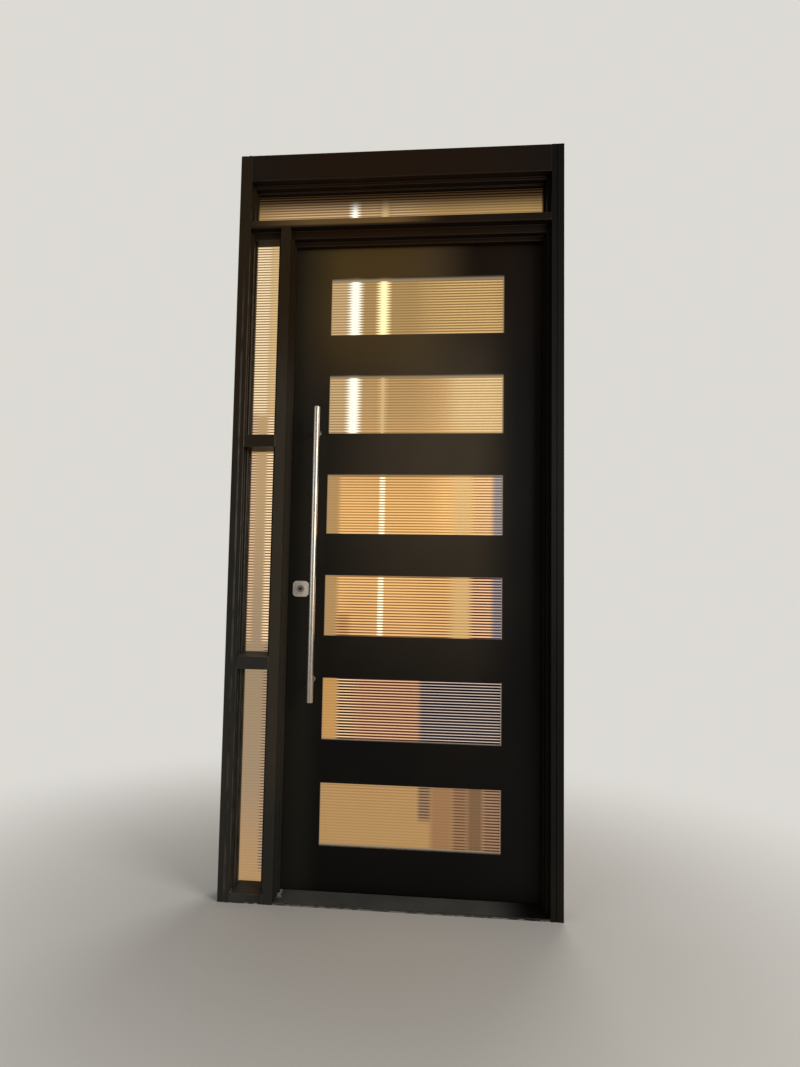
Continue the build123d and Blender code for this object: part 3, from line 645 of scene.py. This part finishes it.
def reeded_glass(name, node, glow_of, spacing=None):
    """Finish of the pane called node, and of the panes that repeat it upwards every spacing."""
    low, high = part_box(node)
    middle = (low.z + high.z) / 2
    reeds = round((high.z - low.z) / reed_pitch)
    pitch = (high.z - low.z) / reeds
    glass = Finish(name, {
        "IOR": 1.5,
        "Roughness": 0.08,
        "Transmission Weight": 0.45,
        "Emission Strength": 0.72,
    })
    height = glass.z - middle
    if spacing:
        height = glass.maths("WRAP", height, spacing / 2, -spacing / 2)
    offset = 0.0 if reeds % 2 else 0.5
    turn = (height / pitch + offset) * math.tau
    wave = glass.maths("COSINE", turn) * 0.5 + 0.5
    glow = glow_of(glass, wave)
    glass.feed("Emission Color", glow)
    # Painted light: the base colour is the same glow, darker
    glass.feed("Base Color", glass.mix(glow_in_base_share, (0, 0, 0), glow))
    ripple = glass.noise(30, detail=2, stretch=(0.3, 1, 1))
    glass.bump(ripple, 0.0004)
    return glass.material


side_panes = ("side_glass_lower", "side_glass_middle", "side_glass_upper")
glass_finishes = {
    "leaf": reeded_glass("reeded_glass_leaf", "leaf_glass_1", leaf_glow, pane_spacing),
    "transom_glass": reeded_glass("reeded_transom_glass", "transom_glass", transom_glow),
}
for pane in side_panes:
    glass_finishes[pane] = reeded_glass("reeded_" + pane, pane, side_glow)
print("Panes of the leaf repeat every", round(pane_spacing, 4), "m")

# %% [markdown]
# ## Steel
# The pull handle is stainless tube, brushed along its length: the scratches draw a highlight out
# into a bright upright line with fine streaks. The lock's plates are satin chrome with almost no
# direction, with a painted shade in a dish round the cylinder. The hinges and screws are plain steel.


# %% Steel
def brushed_steel(name, colour, roughness, stretch, depth, metallic=1.0, shaded_dish=None):
    """Bare metal with fine scratches along the axis that stretch makes long, with a painted shade in a
    round dish.
    """
    steel = Finish(name, {"Metallic": metallic, "IOR": 2.5})
    scratches = steel.noise(1400, detail=3, stretch=stretch)
    smears = steel.noise(18, detail=4)
    duller = [0.78 * channel for channel in colour]
    finished = steel.mix(scratches * 0.6 + smears * 0.3, colour, duller)
    if shaded_dish:
        middle, radius = shaded_dish
        # Painted shade in a dish round the cylinder
        painted_dish_shade = steel.hill(steel.away_from(middle), 0, radius * 0.4, radius * 0.7, radius)
        finished = steel.mix(painted_dish_shade, finished, [0.30 * channel for channel in colour])
    steel.feed("Base Color", finished)
    steel.feed("Roughness", roughness + scratches * 0.14 + steel.step(smears, 0.5, 0.75) * 0.08)
    steel.bump(scratches, depth)
    return steel.material


satin = (1.0, 0.90, 0.75)
satin_metallic = 0.35
dish_radius = 0.016

pull_steel = brushed_steel("pull_steel", (0.76, 0.70, 0.61), 0.25, (1, 1, 0.01), 0.00004)
lock_satin = brushed_steel("lock_satin", satin, 0.32, (1, 1, 1), 0.00003, satin_metallic)
plug_low, plug_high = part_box("key_plug")
plug_face = ((plug_low.x + plug_high.x) / 2, plug_low.y, (plug_low.z + plug_high.z) / 2)
shaded_dish = (plug_face, dish_radius)
dished_satin = brushed_steel("dished_satin", satin, 0.30, (1, 1, 1), 0.00003, satin_metallic, shaded_dish)
hardware_steel = brushed_steel("hardware_steel", (0.52, 0.52, 0.51), 0.30, (1, 1, 0.3), 0.00004)
# Painted shade: the key plug is dark for the shade in its keyway
worn_brass = brushed_steel("worn_brass", (0.16, 0.12, 0.075), 0.40, (1, 1, 1), 0.00003)
metals = (pull_steel, lock_satin, dished_satin, hardware_steel, worn_brass)
print("Metals", [metal.name for metal in metals])

# %% [markdown]
# ## Rubber
# The strips that the leaf closes on are black rubber with a dull bloom.

# %% Rubber
rubber = Finish("seal_rubber", {"IOR": 1.52, "Specular IOR Level": 0.3})
bloom = rubber.noise(60, detail=4)
rubber.feed("Base Color", rubber.mix(bloom, (0.016, 0.016, 0.017), (0.045, 0.044, 0.043)))
rubber.feed("Roughness", 0.6 + bloom * 0.2)
rubber.bump(rubber.noise(900, detail=1), 0.0001)
print("Rubber", rubber.material.name)

# %% [markdown]
# ## Dressing the CAD nodes
# Most shapes are right as they come, so their nodes stay and only their material slots change.


# %% Materials on the nodes
def dress(names, material):
    """Give these CAD nodes a finish."""
    for name in names:
        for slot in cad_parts[name].material_slots:
            slot.material = material
    return len(names)


def nodes_named(*starts):
    """CAD nodes whose names start with one of these words."""
    return sorted(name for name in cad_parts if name.startswith(starts))


dressed = dress(["leaf"], leaf_paint)
dressed += dress(["jamb_left", "jamb_right", "mullion"], upright_paint)
dressed += dress(["head", "transom_bar", "side_rail_lower", "side_rail_upper"], level_paint)
dressed += dress(nodes_named("leaf_beads", "side_beads", "transom_beads"), level_paint)
dressed += dress(["door_sill"], door_sill_paint)
dressed += dress(["side_sill"], side_sill_paint)
dressed += dress(nodes_named("leaf_glass"), glass_finishes["leaf"])
for pane in ("transom_glass", *side_panes):
    dressed += dress([pane], glass_finishes[pane])
dressed += dress(nodes_named("pull"), pull_steel)
dressed += dress(["turn_plate", "thumb_turn"], lock_satin)
dressed += dress(["cylinder_rose", "cylinder_housing"], dished_satin)
dressed += dress(["key_plug"], worn_brass)
dressed += dress(["dead_bolt", "bolt_case", "strike_plate"], lock_satin)
dressed += dress(nodes_named("hinge", "lock_screws", "strike_screws"), hardware_steel)
dressed += dress(nodes_named("seal", "bottom_seal"), rubber.material)
print("Dressed", dressed, "of", len(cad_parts), "CAD nodes")

# %% [markdown]
# ## Eased arrises
# A joiner takes the sharp corners off painted timber with a block of sandpaper, because paint
# pulls away from a knife edge. The rounding is under two millimetres, but it draws the thin
# bright lines along every step, and on the timbers it carries a painted highlight. The CAD mesh is loose
# triangles, so a Weld comes first.


# %% Eased arrises
arris_radius = 0.0018
steel_radius = 0.0012
arris_angle = math.radians(35)


def ease(names, radius, worn=None):
    """Round the sharp edges of these nodes, and show another finish on the rounding if one is given."""
    for name in names:
        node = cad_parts[name]
        weld = node.modifiers.new("weld", "WELD")
        weld.merge_threshold = 0.00001
        rounding = node.modifiers.new("eased_arrises", "BEVEL")
        rounding.width = radius
        rounding.segments = 2
        rounding.limit_method = "ANGLE"
        rounding.angle_limit = arris_angle
        rounding.harden_normals = True
        # The rounding takes the painted arris highlight, when a finish for it is given
        if worn:
            rounding.material = len(node.material_slots)
            node.data.materials.append(worn)


timbers = ["leaf", "head", "mullion", "door_sill", "side_sill"]
timbers += nodes_named("jamb", "transom_bar", "side_rail")
# The timbers' rounded arrises show the painted highlight
ease(timbers, arris_radius, rubbed_paint.material)
ease(["cylinder_rose", "turn_plate"], steel_radius)
print("Eased", len(timbers), "timbers")

# %% [markdown]
# ## Weather strips
# The leaf closes on three lengths of rubber section: a flat foot that is stuck to the stop, a
# hollow bulb that the leaf squeezes, and a thin lip that keeps the wind out. The section is one
# outline, drawn out along the strip, so each strip is one closed mesh.


# %% Weather strips
foot_thickness = 0.0009
bulb_middle = 0.0080
bulb_half_width = 0.0026
lip_foot = 0.0030
lip_tip = 0.0010
lip_thickness = 0.0006
bulb_steps = 10


def strip_section(width, depth):
    """Outline of the strip: across its width from the doorway's side, and out from the stop."""
    bulb_height = depth - foot_thickness
    turns = [math.pi * step / bulb_steps for step in range(bulb_steps + 1)]
    bulb = [
        (bulb_middle + bulb_half_width * math.cos(turn), foot_thickness + bulb_height * math.sin(turn))
        for turn in turns
    ]
    lip = [
        (lip_foot, foot_thickness),
        (lip_tip + lip_thickness, depth * 0.85),
        (lip_tip, depth * 0.8),
        (lip_tip, foot_thickness),
    ]
    return [(0, 0), (width, 0), (width, foot_thickness * 0.7), *bulb, *lip, (0, foot_thickness * 0.7)]


def skirt(form, upper, lower):
    """Faces between two loops with as many corners."""
    for number in range(len(upper)):
        form.faces.new((upper[number - 1], upper[number], lower[number], lower[number - 1]))


def object_from(name, form):
    """Object with the closed mesh that was drawn in form, its faces turned outwards."""
    bmesh.ops.recalc_face_normals(form, faces=form.faces[:])
    mesh = bpy.data.meshes.new(name)
    form.to_mesh(mesh)
    form.free()
    made = bpy.data.objects.new(name, mesh)
    scene.collection.objects.link(made)
    return made


def drawn_out(name, ring, along):
    """Closed mesh that carries a ring of points along a vector."""
    form = bmesh.new()
    near = [form.verts.new(point) for point in ring]
    far = [form.verts.new(Vector(point) + along) for point in ring]
    form.faces.new(near)
    form.faces.new(far)
    skirt(form, near, far)
    return object_from(name, form)


def weather_strip(name, node, body, level):
    """Rubber strip in the place of a CAD seal, upright or level."""
    low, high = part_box(node)
    width = high.z - low.z if level else high.x - low.x
    section = strip_section(width, high.y - low.y)
    if level:
        ring = [(low.x, low.y + out, low.z + across) for across, out in section]
        along = Vector((high.x - low.x, 0, 0))
    else:
        doorway_side, outwards = (high.x, -1) if low.x < 0 else (low.x, 1)
        ring = [(doorway_side + outwards * across, low.y + out, low.z) for across, out in section]
        along = Vector((0, 0, high.z - low.z))
    strip = drawn_out(name, ring, along)
    strip.data.materials.append(rubber.material)
    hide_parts(node)
    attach(strip, body)
    return strip


strips = [
    weather_strip("strip_lock_side", "seal_lock_side", "frame", False),
    weather_strip("strip_hinge_side", "seal_hinge_side", "frame", False),
    weather_strip("strip_head", "seal_head", "frame", True),
]
print("Weather strips", [round(max(strip.dimensions), 3) for strip in strips])

# %% [markdown]
# ## Recipes
# Bristles and screws are the same small shape over and over. Geometry Nodes places them from a
# few numbers, so the number of bristles or the length of a screw can be changed in one place.
# The recipe runs once and leaves a plain mesh.


# %% Recipe helper
class Recipe(Nodes):
    """A Geometry Nodes tree with named inputs, which is run on a mesh."""

    def __init__(self, name, inputs):
        super().__init__(bpy.data.node_groups.new(name, "GeometryNodeTree"))
        self.tree.interface.new_socket("Geometry", in_out="OUTPUT", socket_type="NodeSocketGeometry")
        self.labels = {}
        for label, kind in {"Geometry": "Geometry", "Material": "Material", **inputs}.items():
            made = self.tree.interface.new_socket(label, in_out="INPUT", socket_type="NodeSocket" + kind)
            self.labels[label] = made.identifier
        self.start = self.tree.nodes.new("NodeGroupInput")
        self.end = self.tree.nodes.new("NodeGroupOutput")

    def given(self, label):
        """The value of a named input."""
        return Value(self, self.start.outputs[label])

    def attribute(self, name, kind):
        """A value that is stored on the points of the mesh."""
        return self.node("GeometryNodeInputNamedAttribute", {"data_type": kind}, {"Name": name})

    def random(self, kind, lowest, highest):
        """A random value for each point, from the seed that is given to the recipe."""
        first, output = {"FLOAT_VECTOR": (0, 0), "FLOAT": (2, 1)}[kind]
        sockets = {first: lowest, first + 1: highest, "Seed": self.given("Seed")}
        return self.node("FunctionNodeRandomValue", {"data_type": kind}, sockets, output)

    def join(self, *parts):
        """Several geometries as one."""
        joined = self.tree.nodes.new("GeometryNodeJoinGeometry")
        for part in parts:
            self.tree.links.new(part.socket, joined.inputs[0])
        return Value(self, joined.outputs[0])

    def finish(self, geometry):
        """End the recipe with plain geometry in the given material."""
        real = self.node("GeometryNodeRealizeInstances", sockets={"Geometry": geometry})
        sockets = {"Geometry": real, "Material": self.given("Material")}
        painted = self.node("GeometryNodeSetMaterial", sockets=sockets)
        self.tree.links.new(painted.socket, self.end.inputs[0])

    def run(self, name, mesh, values):
        """Run the recipe on a mesh and return the plain object that comes out."""
        source = bpy.data.objects.new(name + "_source", mesh)
        scene.collection.objects.link(source)
        modifier = source.modifiers.new("recipe", "NODES")
        modifier.node_group = self.tree
        for label, value in values.items():
            modifier[self.labels[label]] = value
        evaluated = source.evaluated_get(bpy.context.evaluated_depsgraph_get())
        result = bpy.data.meshes.new_from_object(evaluated)
        source.modifiers.remove(modifier)
        bpy.data.objects.remove(source)
        result.name = name
        piece = bpy.data.objects.new(name, result)
        scene.collection.objects.link(piece)
        return piece


# %% [markdown]
# ## Brush under the leaf
# A brush closes the gap over the sill: a thin channel under the leaf that holds rows of fine
# bristles. The bristles end just above the sill, so they don't scrape it. Each cone stands for a small
# tuft, leans a little its own way and has only three sides.

# %% Brush under the leaf
brush_low, brush_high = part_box("bottom_seal")
channel_wall = 0.0012
channel_depth = 0.0026
bristle_rows = 6
bristle_row_spacing = 0.0016
bristle_spacing = 0.0021
tuft_radius = 0.0006
tuft_lean = 0.16
brush_end = 0.002
sill_clearance = 0.0002

brush_width = brush_high.x - brush_low.x
brush_depth = brush_high.y - brush_low.y

channel_ring = [
    (brush_low.x, brush_low.y + inward, brush_high.z - down)
    for inward, down in (
        (0, 0),
        (0, channel_depth),
        (channel_wall, channel_depth),
        (channel_wall, channel_wall),
        (brush_depth - channel_wall, channel_wall),
        (brush_depth - channel_wall, channel_depth),
        (brush_depth, channel_depth),
        (brush_depth, 0),
    )
]
channel = drawn_out("channel", channel_ring, Vector((brush_width, 0, 0)))

brush = Recipe("bristles", {
    "Seed": "Int",
    "Columns": "Int",
    "Rows": "Int",
    "Size": "Vector",
    "Place": "Vector",
    "Length": "Float",
    "Radius": "Float",
    "Lean": "Float",
})
size_x, size_y = (
    brush.node("ShaderNodeSeparateXYZ", sockets={0: brush.given("Size")}, output=axis) for axis in range(2)
)
grid = brush.node("GeometryNodeMeshGrid", sockets={
    "Size X": size_x,
    "Size Y": size_y,
    "Vertices X": brush.given("Columns"),
    "Vertices Y": brush.given("Rows"),
})
tuft = brush.node("GeometryNodeMeshCone", sockets={
    "Vertices": 3,
    "Radius Top": 0.0,
    "Radius Bottom": brush.given("Radius"),
    "Depth": brush.given("Length"),
})
lean = brush.given("Lean")
tilts = []
for side in (-1, 1):
    turns = {0: math.pi + side * lean, 1: side * lean, 2: side * math.pi}
    tilts.append(brush.node("ShaderNodeCombineXYZ", sockets=turns))
tufts = brush.node("GeometryNodeInstanceOnPoints", sockets={
    "Points": grid,
    "Instance": tuft,
    "Rotation": brush.random("FLOAT_VECTOR", *tilts),
})
hung = brush.node("GeometryNodeTransform", sockets={"Geometry": tufts, "Translation": brush.given("Place")})
brush.finish(brush.join(brush.given("Geometry"), hung))

root = brush_high.z - channel_wall
row_length = brush_width - 2 * brush_end
brush_seal = brush.run("brush_seal", channel.data, {
    "Material": rubber.material,
    "Seed": 11,
    "Columns": round(row_length / bristle_spacing),
    "Rows": bristle_rows,
    "Size": (row_length, bristle_row_spacing * (bristle_rows - 1), 0),
    "Place": ((brush_low.x + brush_high.x) / 2, (brush_low.y + brush_high.y) / 2, root),
    "Length": root - brush_low.z - sill_clearance,
    "Radius": tuft_radius,
    "Lean": tuft_lean,
})
bpy.data.objects.remove(channel)
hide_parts("bottom_seal")
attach(brush_seal, "leaf")
print("Brush faces", len(brush_seal.data.polygons))

# %% [markdown]
# ## Screws
# Every screw is countersunk with a cross recess, and no two were left at the same turn. The CAD
# model knows where each one sits, so its place, its direction, the radius of its head and its
# length are measured there and stored on a point.

# %% Where the screws are
same_place = 0.00001
end_slice = 0.0003


def islands(form):
    """Places of the vertices of each separate shape, shape by shape in the mesh's order."""
    left = set(form.verts)
    for first in form.verts:
        if first not in left:
            continue
        left.remove(first)
        found, waiting = [], [first]
        while waiting:
            vertex = waiting.pop()
            found.append(vertex.co.copy())
            near = {edge.other_vert(vertex) for edge in vertex.link_edges} & left
            left -= near
            waiting += near
        yield found


def measure_screw(points):
    """Middle of the head's face, direction it looks, radius of the head and length of a screw."""
    low = Vector([min(point[axis] for point in points) for axis in range(3)])
    high = Vector([max(point[axis] for point in points) for axis in range(3)])
    size = high - low
    longest = max(range(3), key=lambda axis: size[axis])
    middle = (low + high) / 2
    radii = {-1: 0.0, 1: 0.0}
    for side, end in ((-1, low[longest]), (1, high[longest])):
        for point in points:
            if abs(point[longest] - end) < end_slice:
                across = point - middle
                across[longest] = 0
                radii[side] = max(radii[side], across.length)
    side = max(radii, key=radii.get)
    aim = Vector((0, 0, 0))
    aim[longest] = side
    return middle + aim * size[longest] / 2, aim, radii[side], size[longest]


def screw_points(name):
    """Mesh of one point for each screw of a CAD node, with what was measured stored on it."""
    form = bmesh.new()
    form.from_mesh(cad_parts[name].data)
    bmesh.ops.remove_doubles(form, verts=form.verts, dist=same_place)
    screws = [measure_screw(points) for points in islands(form)]
    form.free()
    mesh = bpy.data.meshes.new(name + "_points")
    mesh.from_pydata([place for place, aim, radius, length in screws], [], [])
    aims = [part for place, aim, radius, length in screws for part in aim]
    mesh.attributes.new("aim", "FLOAT_VECTOR", "POINT").data.foreach_set("vector", aims)
    for label, values in (
        ("head_radius", [radius for place, aim, radius, length in screws]),
        ("screw_length", [length for place, aim, radius, length in screws]),
    ):
        mesh.attributes.new(label, "FLOAT", "POINT").data.foreach_set("value", values)
    return mesh


screw_nodes = {
    "hinge_frame_screws": "frame",
    "hinge_leaf_screws": "leaf",
    "strike_screws": "frame",
    "lock_screws": "leaf",
}
screw_meshes = {name: screw_points(name) for name in screw_nodes}
print("Screws", {name: len(mesh.vertices) for name, mesh in screw_meshes.items()})

# %% [markdown]
# The head is drawn for a radius of one. Its face is a disc with a cross cut out, and the walls of
# the cross slope in towards the bottom, as the driver's tip does.

# %% One screw
head_sides = 20
head_taper = 0.5
head_depth = 0.52
cross_reach = 0.52
cross_half_width = 0.12
cross_depth = 0.36
cross_taper = 0.55


def loop_of(form, points):
    """Vertices at these points and the edges of the closed loop through them."""
    corners = [form.verts.new(point) for point in points]
    edges = [form.edges.new((corner, corners[number - 1])) for number, corner in enumerate(corners)]
    return corners, edges


def round_points(radius, height):
    """Points of a circle at a height."""
    turns = [math.tau * number / head_sides for number in range(head_sides)]
    return [(radius * math.cos(turn), radius * math.sin(turn), height) for turn in turns]


def cross_points(size, height):
    """Corners of a cross at a height."""
    near, far = cross_half_width * size, cross_reach * size
    arm = [(far, near), (near, near), (near, far)]
    quarters = [arm, [(-y, x) for x, y in arm], [(-x, -y) for x, y in arm], [(y, -x) for x, y in arm]]
    return [(x, y, height) for quarter in quarters for x, y in quarter]


head_form = bmesh.new()
rim, rim_edges = loop_of(head_form, round_points(1, 0))
mouth, mouth_edges = loop_of(head_form, cross_points(1, 0))
foot, _ = loop_of(head_form, round_points(head_taper, -head_depth))
bottom, _ = loop_of(head_form, cross_points(cross_taper, -cross_depth))
bmesh.ops.triangle_fill(head_form, edges=rim_edges + mouth_edges, use_beauty=True)
skirt(head_form, rim, foot)
skirt(head_form, mouth, bottom)
head_form.faces.new(foot)
head_form.faces.new(bottom)
head_part = object_from("screw_head", head_form)

shank_form = bmesh.new()
top_ring, _ = loop_of(shank_form, round_points(head_taper, 0))
tip_ring, _ = loop_of(shank_form, round_points(head_taper, -1))
skirt(shank_form, top_ring, tip_ring)
shank_form.faces.new(top_ring)
shank_form.faces.new(tip_ring)
shank_part = object_from("screw_shank", shank_form)
print("Faces of a head", len(head_part.data.polygons))

# %% [markdown]
# The recipe sets a head and a shank on each point. Both look the way that the screw does, share a
# random turn, and are stretched to its radius and length. The head and the shank that served as
# patterns are removed at the end.

# %% Setting the screws
screw = Recipe("screws", {"Seed": "Int", "Head": "Object", "Shank": "Object", "Taper Depth": "Float"})
aim = screw.attribute("aim", "FLOAT_VECTOR")
radius = screw.attribute("head_radius", "FLOAT")
length = screw.attribute("screw_length", "FLOAT")
head_length = radius * screw.given("Taper Depth")
turned = screw.node("FunctionNodeAlignRotationToVector", {"axis": "Z"}, {"Vector": aim})
spin = screw.node("FunctionNodeAxisAngleToRotation", sockets={
    "Axis": (0, 0, 1),
    "Angle": screw.random("FLOAT", 0.0, math.tau),
})
both_turns = {"Rotation": turned, "Rotate By": spin}
turned = screw.node("FunctionNodeRotateRotation", {"rotation_space": "LOCAL"}, both_turns)
back_step = screw.node("ShaderNodeVectorMath", {"operation": "SCALE"}, {0: aim, "Scale": 0 - head_length})
faces = screw.given("Geometry")
behind = screw.node("GeometryNodeSetPosition", sockets={"Geometry": faces, "Offset": back_step})
parts = []
for label, points, tall in (("Head", faces, radius), ("Shank", behind, length - head_length)):
    shape = screw.node("GeometryNodeObjectInfo", sockets={"Object": screw.given(label)}, output="Geometry")
    scale = screw.node("ShaderNodeCombineXYZ", sockets={0: radius, 1: radius, 2: tall})
    parts.append(screw.node("GeometryNodeInstanceOnPoints", sockets={
        "Points": points,
        "Instance": shape,
        "Rotation": turned,
        "Scale": scale,
    }))
screw.finish(screw.join(*parts))

for number, (name, body) in enumerate(screw_nodes.items()):
    screws = screw.run(name + "_turned", screw_meshes[name], {
        "Material": hardware_steel,
        "Seed": 20 + number,
        "Head": head_part,
        "Shank": shank_part,
        "Taper Depth": head_depth,
    })
    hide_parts(name)
    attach(screws, body)
    print(name, len(screws.data.polygons), "faces")
bpy.data.objects.remove(head_part)
bpy.data.objects.remove(shank_part)
